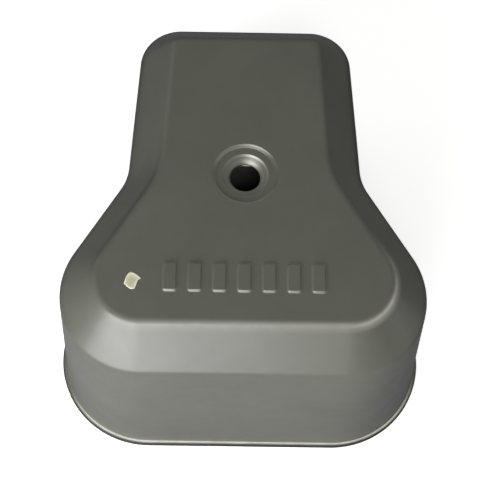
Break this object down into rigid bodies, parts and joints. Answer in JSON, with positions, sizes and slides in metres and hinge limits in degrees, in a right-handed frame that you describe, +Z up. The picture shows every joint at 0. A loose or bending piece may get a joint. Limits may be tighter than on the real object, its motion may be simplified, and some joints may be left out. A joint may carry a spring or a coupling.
{
  "type": "engine valve cover",
  "caption": "Deep pressed-steel valve cover: wide rounded front, narrow rear, sloping band round a flat top, stepped seat for a centre bolt, trimmed rim lip.",
  "frame": {"origin": "where the axis of the centre bolt meets the sealing plane, which is the middle of the footprint", "axes": "+X across the cover, -Y to the wide front, +Z up out of the engine along the centre bolt"},
  "size_m": [0.1464, 0.156, 0.0907],
  "materials": {
    "painted_steel": "satin dark grey stoving paint on drawn steel sheet"
  },
  "bodies": {
    "root": {"cover_shell": "painted_steel"}
  },
  "joints": []
}
